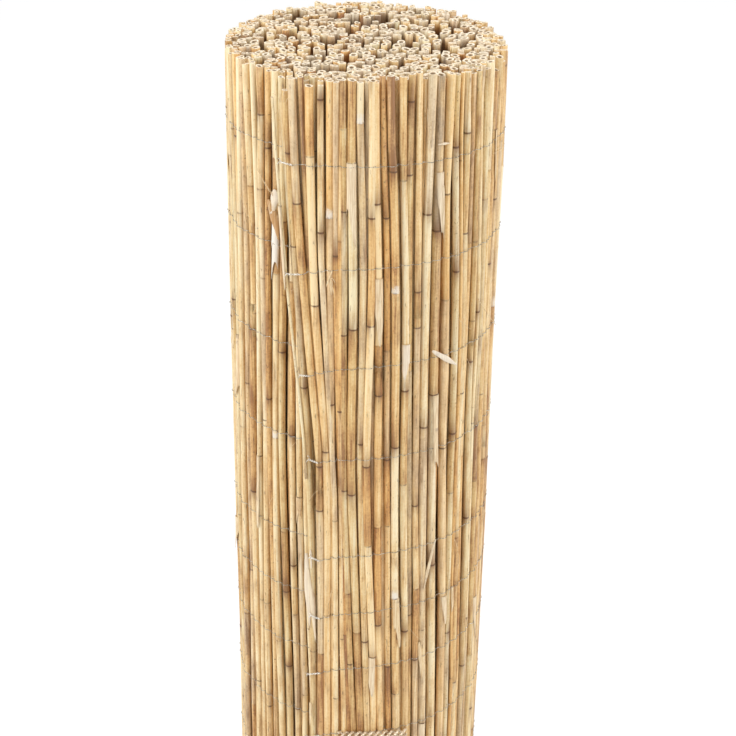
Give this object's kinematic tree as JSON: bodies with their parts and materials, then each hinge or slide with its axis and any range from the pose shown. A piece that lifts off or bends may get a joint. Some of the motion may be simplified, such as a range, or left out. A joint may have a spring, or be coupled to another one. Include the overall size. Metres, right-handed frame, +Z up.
{
  "type": "rolled reed fence",
  "caption": "Reed fence rolled up and standing on end: upright reeds held side by side by rows of thin twisted binding wire, wound into a tight spiral.",
  "frame": {"origin": "centre of the roll's footprint, on the floor", "axes": "+Z up along the reeds; -Y faces the camera side, where the mat's free edge lies a little to the left"},
  "size_m": [0.2802, 0.2866, 1],
  "materials": {
    "reed": "dry natural cane, satin skin",
    "binding_wire": "galvanised"
  },
  "bodies": {
    "root": {"reed_mat": "reed", "binding_wire_01": "binding_wire", "binding_wire_02": "binding_wire", "binding_wire_03": "binding_wire", "binding_wire_04": "binding_wire", "binding_wire_05": "binding_wire", "binding_wire_06": "binding_wire", "binding_wire_07": "binding_wire", "binding_wire_08": "binding_wire", "binding_wire_09": "binding_wire", "binding_wire_10": "binding_wire"}
  },
  "joints": []
}
